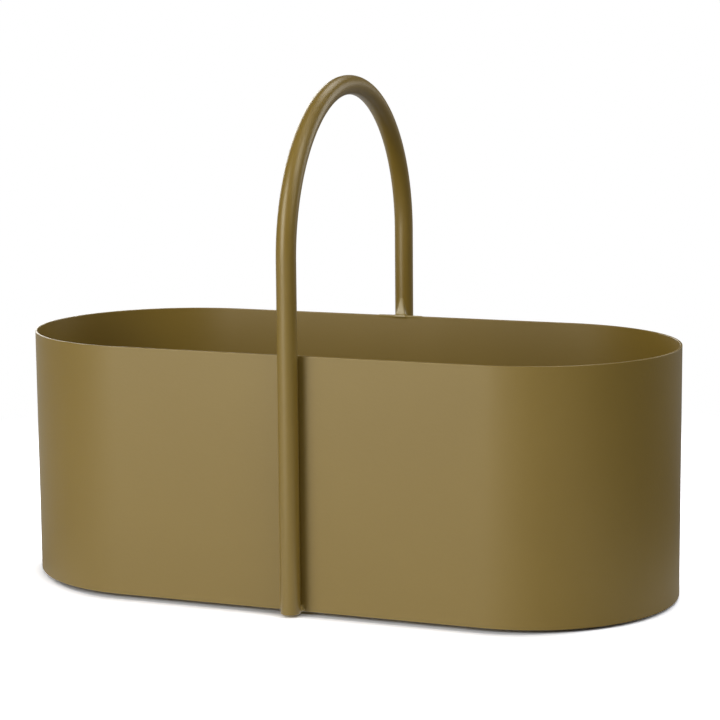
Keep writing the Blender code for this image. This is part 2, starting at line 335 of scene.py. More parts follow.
def wall_tree():
    """The strip's section, carried round the oblong at half the wall's height."""
    tree, size = shape_tree("rolled wall", WALL_SIZES)
    mid_length = node_math(tree, "SUBTRACT", size["Length"], size["Sheet"])
    mid_width = node_math(tree, "SUBTRACT", size["Width"], size["Sheet"])
    end_radius = node_math(tree, "MULTIPLY", mid_width, 0.5)
    oblong = rounded_rectangle(tree, mid_length, mid_width, end_radius, size["Corner steps"])
    half_height = node_math(tree, "MULTIPLY", size["Height"], 0.5)
    middle = point_at(tree, z=node_math(tree, "ADD", size["Foot height"], half_height))
    lifted = add_node(tree, "GeometryNodeSetPosition", {"Geometry": oblong, "Offset": middle})
    upright = add_node(tree, "GeometryNodeSetCurveNormal", {
        "Curve": lifted.outputs["Geometry"]}, mode="Z_UP")
    section = rounded_rectangle(
        tree, size["Sheet"], size["Height"], size["Edge rounding"], size["Edge steps"])
    swept = add_node(tree, "GeometryNodeCurveToMesh", {
        "Curve": upright.outputs["Curve"], "Profile Curve": section})
    joined = add_node(tree, "GeometryNodeMergeByDistance", {
        "Geometry": swept.outputs["Mesh"], "Distance": WALL_MERGE})
    finish_tree(tree, joined.outputs["Geometry"], size)
    return tree


wall = bake_shape("rolled_wall", wall_tree(), WALL_SIZES, sheet_coat)
shade_by_angle(wall, degrees=9.0)
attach(wall, "root")
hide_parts("wall_band")

# %% [markdown]
# ## The seam
# A rolled strip has to close somewhere, and a careful maker puts the seam behind a leg. The weld there is
# ground back, which leaves a narrow band that stands a hair proud of the sheet and takes the sheet's own
# coat. It is a bar with its edges broken by a Bevel modifier, and it is seen only from inside the tray.

# %% Close the seam
SEAM_WIDTH = 2.6 * MM
SEAM_PROUD = 0.12 * MM
SEAM_END_GAP = 0.5 * MM
SOFTEN_ABOVE = math.radians(40.0)


def bar_mesh(name, low, high):
    """A box between two corners, as a mesh."""
    mesh = bpy.data.meshes.new(name)
    work = bmesh.new()
    size = Vector(high) - Vector(low)
    middle = (Vector(high) + Vector(low)) / 2
    bmesh.ops.create_cube(work, size=1.0, matrix=Matrix.Translation(middle) @ Matrix.Diagonal((*size, 1.0)))
    work.to_mesh(mesh)
    work.free()
    return mesh


def place(name, mesh, finish):
    """An object for a mesh that already holds its place."""
    piece = bpy.data.objects.new(name, mesh)
    bpy.context.scene.collection.objects.link(piece)
    mesh.materials.clear()
    mesh.materials.append(finish)
    return piece


def soften(piece, width, segments=3):
    """Rounds the sharp edges with a Bevel modifier."""
    edge = piece.modifiers.new("softened edges", "BEVEL")
    edge.width = width
    edge.segments = segments
    edge.limit_method = "ANGLE"
    edge.angle_limit = SOFTEN_ABOVE
    edge.harden_normals = True


seam_low = (-SEAM_WIDTH / 2, -END_RADIUS - SEAM_PROUD, FOOT_Z + SEAM_END_GAP)
seam_high = (SEAM_WIDTH / 2, -END_RADIUS + SHEET + SEAM_PROUD, RIM_Z - SEAM_END_GAP)
seam = place("ground_seam", bar_mesh("ground_seam", seam_low, seam_high), sheet_coat)
soften(seam, width=0.1 * MM, segments=2)
print(f"ground_seam: {SEAM_WIDTH / MM:.1f} mm wide, {SEAM_PROUD / MM:.2f} mm proud")
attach(seam, "root")
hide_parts("wall_seam_weld")

# %% [markdown]
# ## The floor
# The floor is a flat plate cut to the inside of the wall. In the CAD model it stands 0.3 mm clear of the
# wall, and here the coating closes most of that gap, so its outline is drawn again a little wider. A flat
# filled curve with an extrude and a small bevel makes the plate and its rounded edge in one go.

# %% Lay the floor
FLOOR_GAP = 0.08 * MM
FLOOR_EDGE = 0.2 * MM
FLOOR_EDGE_STEPS = 2
FLOOR_END_STEPS = 64
FLOOR_MERGE = 0.001 * MM


def path_curve(name, runs):
    """A curve with one straight-segment spline for each run of points."""
    curve = bpy.data.curves.new(name, "CURVE")
    curve.dimensions = "3D"
    for points, closed in runs:
        spline = curve.splines.new("POLY")
        spline.points.add(len(points) - 1)
        for target, point in zip(spline.points, points):
            target.co = (*point, 1.0)
        spline.use_cyclic_u = closed
    return curve


def oblong_points(inset):
    """The plate's outline, this far inside the wall's outer face."""
    radius = END_RADIUS - inset
    points = []
    for hand in (1, -1):
        for step in range(FLOOR_END_STEPS + 1):
            angle = -hand * math.pi / 2 + math.pi * step / FLOOR_END_STEPS
            points.append((hand * HALF_STRAIGHT + radius * math.cos(angle), radius * math.sin(angle), 0.0))
    return points


def floor_mesh():
    """The plate as a closed mesh, at its height in the wall."""
    curve = path_curve("floor outline", [(oblong_points(SHEET + FLOOR_GAP + FLOOR_EDGE), True)])
    curve.dimensions = "2D"
    curve.fill_mode = "BOTH"
    curve.extrude = (FLOOR_TOP_Z - FLOOR_UNDER_Z) / 2 - FLOOR_EDGE
    curve.bevel_depth = FLOOR_EDGE
    curve.bevel_resolution = FLOOR_EDGE_STEPS
    drawn = bpy.data.objects.new("floor outline", curve)
    bpy.context.scene.collection.objects.link(drawn)
    bpy.context.view_layer.update()
    mesh = bpy.data.meshes.new_from_object(drawn.evaluated_get(bpy.context.evaluated_depsgraph_get()))
    bpy.data.objects.remove(drawn, do_unlink=True)
    work = bmesh.new()
    work.from_mesh(mesh)
    bmesh.ops.remove_doubles(work, verts=work.verts, dist=FLOOR_MERGE)
    bmesh.ops.translate(work, verts=work.verts, vec=(0.0, 0.0, (FLOOR_TOP_Z + FLOOR_UNDER_Z) / 2))
    bmesh.ops.recalc_face_normals(work, faces=work.faces)
    work.to_mesh(mesh)
    work.free()
    return mesh


floor_plate = place("floor_plate", floor_mesh(), sheet_coat)
shade_by_angle(floor_plate, degrees=20.0)
print(f"floor_plate: {len(floor_plate.data.polygons)} faces")
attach(floor_plate, "root")
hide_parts("base_plate")

# %% [markdown]
# ## The handle
# The handle is one length of round tube. Its path runs up the front leg, over a half circle and down the
# rear leg. A circle swept along that path gives the outer skin, Solidify gives the wall of the tube, and
# Bevel takes the sharpness off the sawn ends.

# %% Bend the handle
LEG_STEPS = 24
HOOP_STEPS = 120
HANDLE_SIZES = {"Radius": TUBE_RADIUS, "Sides": 56}


def handle_path():
    """The tube's centre line, from the front foot to the rear foot."""
    rise = HOOP_CENTRE_Z - FOOT_Z
    points = [(0.0, -LEG_Y, FOOT_Z + rise * step / LEG_STEPS) for step in range(LEG_STEPS)]
    for step in range(HOOP_STEPS + 1):
        angle = math.pi * (1.0 - step / HOOP_STEPS)
        points.append((0.0, LEG_Y * math.cos(angle), HOOP_CENTRE_Z + LEG_Y * math.sin(angle)))
    points += [(0.0, LEG_Y, HOOP_CENTRE_Z - rise * step / LEG_STEPS) for step in range(1, LEG_STEPS + 1)]
    return points


def sweep_tree():
    """A circle swept along the path."""
    tree, size = shape_tree("swept tube", HANDLE_SIZES)
    section = add_node(tree, "GeometryNodeCurvePrimitiveCircle", {
        "Resolution": size["Sides"], "Radius": size["Radius"]})
    swept = add_node(tree, "GeometryNodeCurveToMesh", {
        "Curve": size["Geometry"], "Profile Curve": section.outputs["Curve"]})
    finish_tree(tree, swept.outputs["Mesh"], size)
    return tree


handle = bake_shape("bent_handle", sweep_tree(), HANDLE_SIZES, tube_coat,
                    path_curve("handle path", [(handle_path(), False)]))
handle.data.shade_smooth()
tube_wall = handle.modifiers.new("tube wall", "SOLIDIFY")
tube_wall.thickness = TUBE_WALL
tube_wall.offset = -1.0
soften(handle, width=0.45 * MM, segments=4)
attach(handle, "root")
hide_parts("handle_tube")

# %% [markdown]
# ## The closed ends of the legs
# Each end of the tube is closed with a disc. A disc is the simplest turned part there is, so one tree
# places two copies of a cylinder, one for each leg, and a Bevel modifier rounds them afterwards.

# %% Close the legs
PLUG_RECESS = 0.15 * MM
PLUG_SIZES = {
    "Radius": TUBE_RADIUS - TUBE_WALL, "Thickness": 1.5 * MM, "Leg distance": 2 * LEG_Y,
    "Height": FOOT_Z + PLUG_RECESS, "Sides": 48,
}


def discs_on(tree, points, size):
    """Puts a disc on every point and ends the tree."""
    disc = add_node(tree, "GeometryNodeMeshCylinder", {
        "Vertices": size["Sides"], "Radius": size["Radius"], "Depth": size["Thickness"]})
    copies = add_node(tree, "GeometryNodeInstanceOnPoints", {
        "Points": points, "Instance": disc.outputs["Mesh"]})
    finish_tree(tree, copies.outputs["Instances"], size)
    return tree


def plug_tree():
    """Two discs, one in each leg."""
    tree, size = shape_tree("leg plugs", PLUG_SIZES)
    half_thickness = node_math(tree, "MULTIPLY", size["Thickness"], 0.5)
    middle_z = node_math(tree, "ADD", size["Height"], half_thickness)
    half = node_math(tree, "MULTIPLY", size["Leg distance"], 0.5)
    front = point_at(tree, y=node_math(tree, "MULTIPLY", half, -1.0), z=middle_z)
    rear = point_at(tree, y=half, z=middle_z)
    legs = add_node(tree, "GeometryNodeMeshLine", {
        "Count": 2, "Start Location": front, "Offset": rear}, mode="END_POINTS")
    return discs_on(tree, legs.outputs["Mesh"], size)


plugs = bake_shape("leg_plugs", plug_tree(), PLUG_SIZES, tube_coat)
shade_by_angle(plugs, degrees=30.0)
soften(plugs, width=0.2 * MM)
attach(plugs, "root")
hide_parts("front_leg_plug", "rear_leg_plug")

# %% [markdown]
# ## The pads
# Four stick-on pads lift the wall off the table. They stand on the diagonals of the round ends, where the
# CAD model has them, and each is a low disc of black rubber with soft edges.

# %% Stick on the pads
RUBBER_BLACK = (0.014, 0.014, 0.015, 1.0)
RUBBER_PALE = (0.030, 0.030, 0.031, 1.0)
RUBBER_GRAIN_SIZE = 0.5 * MM
RUBBER_GRAIN_DEPTH = 0.05 * MM
RUBBER_GRAIN_STRENGTH = 0.6
RUBBER_ROUGHNESS = 0.78

pad_low, pad_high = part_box("front_right_pad")
PAD_SIZES = {
    "Radius": (pad_high.x - pad_low.x) / 2, "Thickness": FLOOR_UNDER_Z, "Spread X": pad_high.x + pad_low.x,
    "Spread Y": -(pad_high.y + pad_low.y), "Sides": 64,
}


def rubber(name):
    """Matt black rubber with a fine grain."""
    finish, tree, shader = new_finish(name)
    spot = tree.nodes.new("ShaderNodeTexCoord").outputs["Object"]
    grain = noise(tree, spot, RUBBER_GRAIN_SIZE, detail=3.0, roughness=0.6)
    tree.links.new(blend_colours(tree, grain, RUBBER_BLACK, RUBBER_PALE), shader.inputs["Base Color"])
    skin = bump(tree, grain, RUBBER_GRAIN_DEPTH, RUBBER_GRAIN_STRENGTH)
    tree.links.new(skin, shader.inputs["Normal"])
    shader.inputs["Roughness"].default_value = RUBBER_ROUGHNESS
    return finish


def pad_tree():
    """Four discs, one at each corner of a rectangle."""
    tree, size = shape_tree("pads", PAD_SIZES)
    corners = add_node(tree, "GeometryNodeMeshGrid", {
        "Size X": size["Spread X"], "Size Y": size["Spread Y"], "Vertices X": 2, "Vertices Y": 2})
    middle = point_at(tree, z=node_math(tree, "MULTIPLY", size["Thickness"], 0.5))
    lifted = add_node(tree, "GeometryNodeSetPosition", {
        "Geometry": corners.outputs["Mesh"], "Offset": middle})
    return discs_on(tree, lifted.outputs["Geometry"], size)


pads = bake_shape("rubber_pads", pad_tree(), PAD_SIZES, rubber("black pad rubber"))
shade_by_angle(pads, degrees=30.0)
soften(pads, width=0.5 * MM)
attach(pads, "root")
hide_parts("front_left_pad", "front_right_pad", "rear_left_pad", "rear_right_pad")

# %% [markdown]
# ## The stitch welds under the floor
# A bead of weld is a row of overlapping drops, which welders call a stack of coins. Each short stitch
# follows the corner between the floor and the wall, so the tree resamples its path at the drops' pitch and
# sets a small ball at every point, each a little different in size.

# %% Stitch the floor to the wall
STITCH_SIZES = {
    "Drop radius": 0.95 * MM, "Drop pitch": 0.95 * MM, "Drop segments": 14, "Drop rings": 8,
    "Variation": 0.12, "Seed": 7,
}
STITCH_LENGTH = 14.0 * MM
STITCH_STEPS = 10
STITCH_COUNT = 8
STITCH_INSET = SHEET + 0.75 * MM
STITCH_Z = FLOOR_UNDER_Z - 0.55 * MM


def point_on_oblong(inset, distance):
    """The point at a distance round the oblong, from the middle of its front."""
    radius = END_RADIUS - inset
    for hand, run in ((1, HALF_STRAIGHT), (-1, 2 * HALF_STRAIGHT)):
        if distance < run:
            return (hand * (HALF_STRAIGHT - run + distance), -hand * radius)
        distance -= run
        if distance < math.pi * radius:
            angle = -hand * math.pi / 2 + distance / radius
            return (hand * HALF_STRAIGHT + radius * math.cos(angle), radius * math.sin(angle))
        distance -= math.pi * radius
    return (distance - HALF_STRAIGHT, -radius)


def stitch_paths():
    """One short run of points for each stitch, evenly spread round the oblong."""
    girth = 4 * HALF_STRAIGHT + 2 * math.pi * (END_RADIUS - STITCH_INSET)
    runs = []
    for index in range(STITCH_COUNT):
        middle = (index + 0.5) * girth / STITCH_COUNT
        reaches = [STITCH_LENGTH * (step / STITCH_STEPS - 0.5) for step in range(STITCH_STEPS + 1)]
        spots = [point_on_oblong(STITCH_INSET, middle + reach) for reach in reaches]
        runs.append(([(x, y, STITCH_Z) for x, y in spots], False))
    return runs


def stitch_tree():
    """A ball at every pitch along the paths, each scaled by a seeded random number."""
    tree, size = shape_tree("stitch welds", STITCH_SIZES)
    beads = add_node(tree, "GeometryNodeResampleCurve", {
        "Curve": size["Geometry"], "Length": size["Drop pitch"]}, mode="LENGTH")
    drop = add_node(tree, "GeometryNodeMeshUVSphere", {
        "Segments": size["Drop segments"], "Rings": size["Drop rings"], "Radius": size["Drop radius"]})
    least = node_math(tree, "SUBTRACT", 1.0, size["Variation"])
    most = node_math(tree, "ADD", 1.0, size["Variation"])
    scale = add_node(tree, "FunctionNodeRandomValue", {
        "Min_001": least, "Max_001": most, "Seed": size["Seed"]}, data_type="FLOAT")
    row = add_node(tree, "GeometryNodeInstanceOnPoints", {
        "Points": beads.outputs["Curve"], "Instance": drop.outputs["Mesh"], "Scale": scale.outputs[1]})
    finish_tree(tree, row.outputs["Instances"], size)
    return tree


stitches = bake_shape("stitch_welds", stitch_tree(), STITCH_SIZES, weld_coat_with_painted_highlight,
                      path_curve("stitch paths", stitch_paths()))
stitches.data.shade_smooth()
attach(stitches, "root")
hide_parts(*[f"base_stitch_weld_{number}" for number in range(1, STITCH_COUNT + 1)])

# %% [markdown]
# ## The welds between the handle and the wall
# These are the only places where two pieces flow into each other, and they catch the light in the photo.
# A weld is liquid metal that wets both sides, so its edges feather out and its skin is concave. Modelling
# that by hand is slow. A field does it at once: each point of a small block gets its distance to the bead,
# to the tube and to the sheet, the distances are blended with a smooth minimum, and the surface is drawn
# where the blend is zero. The Volume Cube node holds such a field and Volume to Mesh draws its surface.

# %% Measure the distance to the weld's own metal
NUMBER_RESULTS = ("DOT_PRODUCT", "LENGTH", "DISTANCE")


def vector_math(tree, operation, first, second=None):
    """One step of vector arithmetic. Lengths, distances and dot products come back as numbers."""
    inputs = {"Vector": first}
    if second is not None:
        inputs["Scale" if operation == "SCALE" else "Vector_001"] = second
    made = add_node(tree, "ShaderNodeVectorMath", inputs, operation=operation)
    return made.outputs["Value" if operation in NUMBER_RESULTS else "Vector"]


def bead_distance(tree, point, start, end, start_radius, end_radius):
    """The distance from a point to a bead that tapers from one radius to another."""
    run = Vector(end) - Vector(start)
    away = vector_math(tree, "SUBTRACT", point, tuple(start))
    along = vector_math(tree, "DOT_PRODUCT", away, tuple(run / run.length_squared))
    along = add_node(tree, "ShaderNodeClamp", {"Value": along}).outputs["Result"]
    gap = vector_math(tree, "DISTANCE", away, vector_math(tree, "SCALE", tuple(run), along))
    radius = node_math(tree, "MULTIPLY_ADD", along, end_radius - start_radius, start_radius)
    return node_math(tree, "SUBTRACT", gap, radius)


def ramp_distance(tree, x, y, z, ramp):
    """The distance to a flat sloping face that leans on the leg and narrows as it climbs."""
    foot_y, foot_z = ramp["foot"]
    lean, rounding = math.radians(ramp["lean"]), ramp["rounding"]
    up = node_math(tree, "SUBTRACT", z, foot_z)
    inward = node_math(tree, "SUBTRACT", y, foot_y)
    face = node_math(tree, "MULTIPLY", inward, -math.cos(lean))
    face = node_math(tree, "MULTIPLY_ADD", up, math.sin(lean), face)
    flank = node_math(tree, "SUBTRACT", node_math(tree, "ABSOLUTE", x), ramp["half width"])
    flank = node_math(tree, "MULTIPLY_ADD", up, ramp["narrowing"], flank)
    under = node_math(tree, "MULTIPLY", up, -1.0)
    ends = node_math(tree, "MAXIMUM", under, node_math(tree, "SUBTRACT", inward, ramp["depth"]))
    sides = node_math(tree, "SMOOTH_MAX", face, flank, rounding)
    return node_math(tree, "SMOOTH_MAX", sides, ends, rounding)


print("weld metal: tapered beads and a leaning ramp")

# %% Measure the distance to the leg and to the sheet
def leg_distance(tree, x, y, below, size):
    """The distance to the leg's skin, above its lower end."""
    from_leg = node_math(tree, "SUBTRACT", y, size["Leg distance"])
    squares = [node_math(tree, "MULTIPLY", value, value) for value in (x, from_leg)]
    reach = node_math(tree, "SQRT", node_math(tree, "ADD", *squares))
    radius = node_math(tree, "SUBTRACT", size["Tube radius"], size["Skin"])
    return node_math(tree, "MAXIMUM", node_math(tree, "SUBTRACT", reach, radius), below)


def sheet_distance(tree, y, z, below, size):
    """The distance to the wall's skin, between its foot and its rim."""
    outer = node_math(tree, "SUBTRACT", y, size["Wall face"])
    inner_face = node_math(tree, "SUBTRACT", size["Wall face"], size["Sheet"])
    inner = node_math(tree, "SUBTRACT", inner_face, y)
    above = node_math(tree, "SUBTRACT", z, size["Wall top"])
    sheet = node_math(tree, "MAXIMUM", node_math(tree, "MAXIMUM", outer, inner), above)
    return node_math(tree, "ADD", node_math(tree, "MAXIMUM", sheet, below), size["Skin"])


print("steel round the weld: the leg and the sheet")

# %% Draw a weld from its field
WELD_SIZES = {
    "Tube radius": TUBE_RADIUS, "Leg distance": LEG_Y, "Wall face": END_RADIUS, "Sheet": SHEET,
    "Wall top": RIM_Z, "Foot": FOOT_Z, "Wetting": 1.8 * MM, "Skin": 0.05 * MM, "Roughness": 0.10 * MM,
    "End clearance": 0.35 * MM, "Seed": 3.0, "Side": 1.0, "Cell": 0.13 * MM,
}
RIPPLE_SIZE = 1.6 * MM
FEWEST_CELLS = 8


def draw_field(tree, field, low, high):
    """The surface where a field is zero, inside a block of small cells."""
    counts = [max(FEWEST_CELLS, round((b - a) / WELD_SIZES["Cell"])) for a, b in zip(low, high)]
    block = add_node(tree, "GeometryNodeVolumeCube", {
        "Density": node_math(tree, "MULTIPLY", field, -1.0), "Background": -1.0, "Min": tuple(low),
        "Max": tuple(high), "Resolution X": counts[0], "Resolution Y": counts[1], "Resolution Z": counts[2]})
    drawn = add_node(tree, "GeometryNodeVolumeToMesh", {"Volume": block.outputs["Volume"], "Threshold": 0.0})
    smooth = add_node(tree, "GeometryNodeSetShadeSmooth", {"Geometry": drawn.outputs["Mesh"]})
    return smooth.outputs["Geometry"]


def weld_tree(name, beads, low, high, ramp=None):
    """The field tree for one weld. Its shapes are given for the rear leg, and Side mirrors them."""
    tree, size = shape_tree(name, WELD_SIZES)
    here = add_node(tree, "GeometryNodeInputPosition").outputs["Position"]
    apart = add_node(tree, "ShaderNodeSeparateXYZ", {"Vector": here})
    x, y, z = (apart.outputs[axis] for axis in "XYZ")
    y = node_math(tree, "MULTIPLY", y, size["Side"])
    point = point_at(tree, x, y, z)
    below = node_math(tree, "SUBTRACT", size["Foot"], z)

    metal = [ramp_distance(tree, x, y, z, ramp)] if ramp else []
    metal += [bead_distance(tree, point, *bead) for bead in beads]
    bead = metal[0]
    for part in metal[1:]:
        bead = node_math(tree, "SMOOTH_MIN", bead, part, size["Wetting"])
    ripple = add_node(tree, "ShaderNodeTexNoise", {
        "Vector": here, "W": size["Seed"], "Scale": 1.0 / RIPPLE_SIZE, "Detail": 1.0}, noise_dimensions="4D")
    ripple = node_math(tree, "SUBTRACT", ripple.outputs["Fac"], 0.5)
    bead = node_math(tree, "MULTIPLY_ADD", ripple, size["Roughness"], bead)

    leg = leg_distance(tree, x, y, below, size)
    sheet = sheet_distance(tree, y, z, below, size)
    wet_leg, wet_sheet = (
        node_math(tree, "SMOOTH_MIN", bead, steel, size["Wetting"]) for steel in (leg, sheet))
    weld = node_math(tree, "MINIMUM", wet_leg, wet_sheet)
    weld = node_math(tree, "MAXIMUM", weld, node_math(tree, "SUBTRACT", bead, size["Wetting"]))
    past_end = node_math(tree, "ADD", below, size["End clearance"])
    weld = node_math(tree, "SMOOTH_MAX", weld, past_end, size["End clearance"])
    finish_tree(tree, draw_field(tree, weld, low, high), size)
    return tree


print(f"weld fields have cells of {WELD_SIZES['Cell'] / MM:.2f} mm")

# %% [markdown]
# ## The shapes of the six welds
# At the rim the weld isn't a round bead. It was drawn up the leg, so it is a flat ramp that stands on the
# rim, leans on the leg and narrows as it climbs. At the rear leg thin tails run out from it along the rim.
# The front leg hides its own rim weld, which is a narrower ramp without tails. At the foot of each leg a
# short bead lies in the groove on either side, kept clear of the leg's sawn end. Each shape is written
# once, for the rear leg, and a Side of minus one mirrors it to the front.

# %% Shape the welds
RIM_RAMP = {
    "foot": (END_RADIUS - SHEET - 0.35 * MM, RIM_Z - 0.7 * MM), "lean": 15.0, "half width": 3.2 * MM,
    "narrowing": 0.27, "depth": 2.6 * MM, "rounding": 0.7 * MM,
}
HIDDEN_HALF_WIDTH = 2.7 * MM
TAIL_Y, TAIL_Z = END_RADIUS - SHEET / 2, RIM_Z - 0.3 * MM
TAIL_START, TAIL_END = 2.0 * MM, 12.0 * MM
TAIL_RADII = (0.42 * MM, 0.22 * MM)
FOOT_BEAD_LOW = (3.9 * MM, END_RADIUS + 1.1 * MM, FOOT_Z + 1.2 * MM)
FOOT_BEAD_HIGH = (3.8 * MM, END_RADIUS + 1.0 * MM, FOOT_Z + 2.6 * MM)
FOOT_BEAD_RADII = (1.15 * MM, 0.7 * MM)


def bead_on(hand, start, end, radii):
    """A bead from start to end on the right of the leg, or mirrored to its left."""
    (start_x, *start_rest), (end_x, *end_rest) = start, end
    return ((hand * start_x, *start_rest), (hand * end_x, *end_rest), *radii)


TAIL_BEADS = [
    bead_on(hand, (TAIL_START, TAIL_Y, TAIL_Z), (TAIL_END, TAIL_Y, TAIL_Z), TAIL_RADII) for hand in (-1, 1)]
RIM_WELDS = {
    "front": ([], dict(RIM_RAMP, **{"half width": HIDDEN_HALF_WIDTH})),
    "rear": (TAIL_BEADS, RIM_RAMP),
}
print(f"rim tails: their centre lines end {TAIL_END / MM:.0f} mm from the middle of the leg")

# %% Grow the welds
BLOCK_MARGIN_CELLS = 4
RIM_SEED = 3
FOOT_SEED = 8


def block_round(beads, ramp, side, margin):
    """The corners of the block that holds a weld, on the leg's own side."""
    ends = [(Vector(start), radius) for start, _, radius, _ in beads]
    ends += [(Vector(end), radius) for _, end, _, radius in beads]
    if ramp:
        foot_y, foot_z = ramp["foot"]
        top_z = foot_z + ramp["half width"] / ramp["narrowing"]
        ends += [(Vector((hand * ramp["half width"], foot_y, foot_z)), 0.0) for hand in (-1, 1)]
        ends.append((Vector((0.0, foot_y + ramp["depth"], top_z)), 0.0))
    low = [min(point[axis] - radius for point, radius in ends) - margin for axis in range(3)]
    high = [max(point[axis] + radius for point, radius in ends) + margin for axis in range(3)]
    if side < 0:
        low[1], high[1] = -high[1], -low[1]
    return low, high


def grow_weld(name, beads, ramp, side, seed, node):
    """Grows one weld on the front or rear leg and lets it stand for its CAD node."""
    margin = WELD_SIZES["Wetting"] + BLOCK_MARGIN_CELLS * WELD_SIZES["Cell"]
    low, high = block_round(beads, ramp, side, margin)
    sizes = dict(WELD_SIZES, Side=float(side), Seed=float(seed))
    weld = bake_shape(name, weld_tree(name + " field", beads, low, high, ramp), sizes, weld_coat_with_painted_highlight)
    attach(weld, "root")
    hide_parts(node)


for side, side_name in ((-1, "front"), (1, "rear")):
    rim_beads, rim_ramp = RIM_WELDS[side_name]
    grow_weld(f"{side_name}_rim_bead", rim_beads, rim_ramp, side, RIM_SEED + side, f"{side_name}_rim_weld")
    for hand, hand_name in ((-1, "left"), (1, "right")):
        foot_beads = [bead_on(hand, FOOT_BEAD_LOW, FOOT_BEAD_HIGH, FOOT_BEAD_RADII)]
        corner = f"{side_name}_{hand_name}_foot"
        grow_weld(corner + "_bead", foot_beads, None, side, FOOT_SEED + 2 * side + hand, corner + "_weld")

# %% [markdown]
# ## The studio floor
# The photograph is a shop picture: the object on pure white, with only a thin shadow where it meets the
# ground. A white that bright can't come from more light, because the olive would bleach with it. The floor
# asks the Light Path node which kind of ray is looking. The camera sees a diffuse white that still takes
# the real shadow. Its colour is held back in a narrow band along the wall. This is a painted shadow, which
# leaves the thin dark line there. Outside that band the colour is lifted beyond white. Further out it turns
# into plain white.
#
# The other rays see the paper as it lights the object. For bounced light it is pale under the object and
# darker to the right rear, as the tones round the right end ask for. Mirrored rays see white paper in
# front and to the left, and a dim share of the backdrop behind.

# %% Mark where mirrored rays see white
BACKDROP_AXIS = (0.0, 1.0, 0.0)
BACKDROP_EDGE = (0.55, 0.95)
BACKDROP_SHARE = 0.2
LIT_PAPER_PIVOT = (0.09, 0.15, 0.0)
LIT_PAPER_HEADING = math.radians(-21.0)
LIT_PAPER_AXIS = (math.sin(LIT_PAPER_HEADING), -math.cos(LIT_PAPER_HEADING), 0.0)
LIT_PAPER_EDGE = (math.cos(math.radians(37.0)), math.cos(math.radians(18.0)))


def facing(tree, direction, axis):
    """How squarely a direction points along an axis, from 1 along it to -1 away from it."""
    return vector_math(tree, "DOT_PRODUCT", vector_math(tree, "NORMALIZE", direction), axis)


def towards_backdrop(tree, outward):
    """The backdrop's share where a direction points at it, behind the object, and 0 well beside it."""
    level = vector_math(tree, "MULTIPLY", outward, (1.0, 1.0, 0.0))
    return fade(tree, facing(tree, level, BACKDROP_AXIS), BACKDROP_EDGE, (0.0, BACKDROP_SHARE))


def lit_paper(tree, spot):
    """1 on the brightly lit paper in front and to the left of the object, 0 well beside it."""
    from_pivot = vector_math(tree, "SUBTRACT", spot, LIT_PAPER_PIVOT)
    return fade(tree, facing(tree, from_pivot, LIT_PAPER_AXIS), LIT_PAPER_EDGE)


def mirrored_ray(tree, path):
    """1 for a ray that was mirrored or let through, 0 for any other."""
    return node_math(tree, "MAXIMUM", path.outputs["Is Glossy Ray"], path.outputs["Is Transmission Ray"])


def mix_shaders(tree, amount, first, second):
    """The first shader at 0, the second at 1."""
    return add_node(tree, "ShaderNodeMixShader", {
        "Fac": amount, "Shader": first, "Shader_001": second}).outputs["Shader"]


print(f"mirrored rays see {BACKDROP_SHARE:.0%} of the backdrop")

# %% Paint the camera's floor
# The colour's lift is lowest at the wall and grows outwards over the band and the tail. This is a painted
# shadow on top of the real one.
PAINTED_SHADOW_LIFT = (0.58, 1.58)
PAINTED_SHADOW_BAND = (1.0 * MM, 8.0 * MM)
PAINTED_SHADOW_TAIL_LIFT = (0.0, 0.90)
PAINTED_SHADOW_TAIL = (6.0 * MM, 26.0 * MM)
BOUNCE_BALANCE = (0.985, 1.0, 1.045)
PAINTED_SHADOW_END_STRETCH = 1.18
SHADOW_REACH = (0.30, 0.55)


def distance_to_wall(tree, spot):
    """How far a spot on the floor is from the oblong wall, with the round ends counted as further away."""
    apart = add_node(tree, "ShaderNodeSeparateXYZ", {"Vector": spot})
    along = node_math(tree, "ABSOLUTE", apart.outputs["X"])
    past_straight = node_math(tree, "MAXIMUM", node_math(tree, "SUBTRACT", along, HALF_STRAIGHT), 0.0)
    past_straight = node_math(tree, "MULTIPLY", past_straight, PAINTED_SHADOW_END_STRETCH)
    reach = vector_math(tree, "LENGTH", point_at(tree, past_straight, apart.outputs["Y"]))
    return node_math(tree, "SUBTRACT", reach, END_RADIUS)


def paper_with_painted_shadow(tree, spot):
    """A diffuse white that takes the real shadow, darkened by a painted shadow along the wall, with the warm
    tint of the olive's bounce balanced out.
    """
    from_wall = distance_to_wall(tree, spot)
    lift = node_math(tree, "ADD", fade(tree, from_wall, PAINTED_SHADOW_BAND, PAINTED_SHADOW_LIFT),
                     fade(tree, from_wall, PAINTED_SHADOW_TAIL, PAINTED_SHADOW_TAIL_LIFT))
    red, green, blue = (node_math(tree, "MULTIPLY", lift, share) for share in BOUNCE_BALANCE)
    lifted = add_node(tree, "ShaderNodeCombineColor", {"Red": red, "Green": green, "Blue": blue})
    return add_node(tree, "ShaderNodeBsdfDiffuse", {"Color": lifted.outputs["Color"]}).outputs["BSDF"]


print(f"contact shadow within {PAINTED_SHADOW_BAND[1] / MM:.0f} mm of the wall")

# %% Lay the studio floor
FLOOR_SIZE = 12.0
PAPER_TONE = 0.60
BARE_TONE = 0.12
PAPER_EDGE = (0.14, 0.34)
PAPER_EDGE_DIRECTION = (0.80, 0.60, 0.0)
PAPER_ROUGHNESS = 0.9
WHITE = (1.0, 1.0, 1.0, 1.0)


